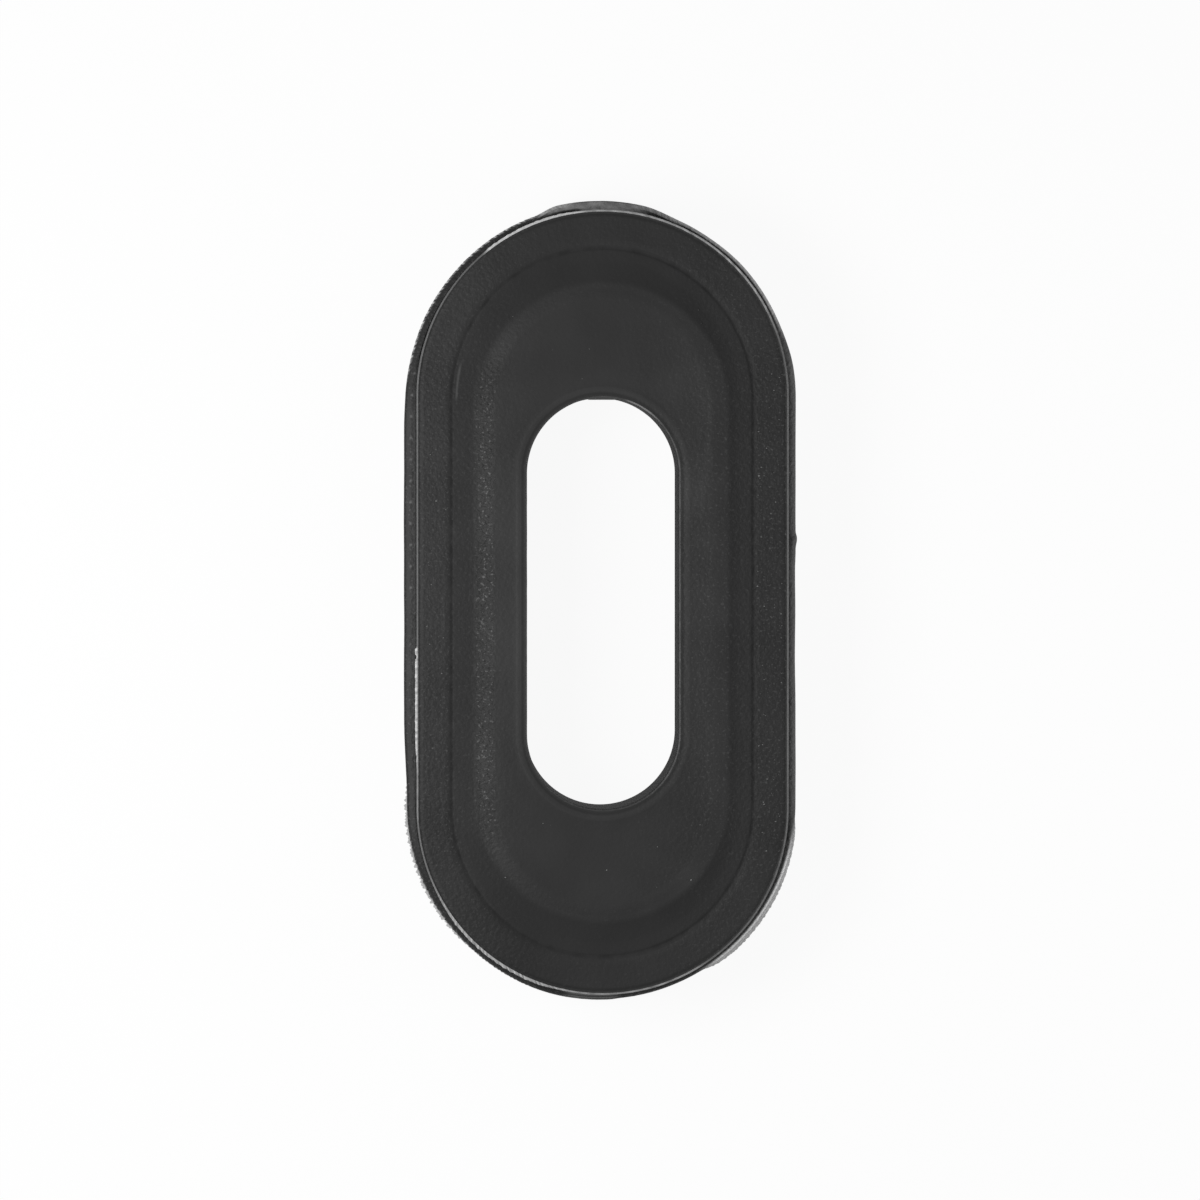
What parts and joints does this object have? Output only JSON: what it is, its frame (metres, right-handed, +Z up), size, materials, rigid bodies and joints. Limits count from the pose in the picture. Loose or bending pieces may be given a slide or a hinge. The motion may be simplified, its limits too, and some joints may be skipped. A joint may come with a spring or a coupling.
{
  "type": "silicone sealing plug",
  "caption": "Obround soft plug moulded in one piece, with an upright wall, a base lip, a shallow channel in its top face and a slot right through for cables.",
  "frame": {"origin": "centre of the flat underside, in the middle of the slot", "axes": "+Z up through the slot to the top face with the channel, +Y along the plug's long side, +X across its short side"},
  "size_m": [0.012, 0.0244, 0.004],
  "materials": {
    "silicone": "matt"
  },
  "bodies": {
    "root": {"sealing_plug": "silicone"}
  },
  "joints": []
}
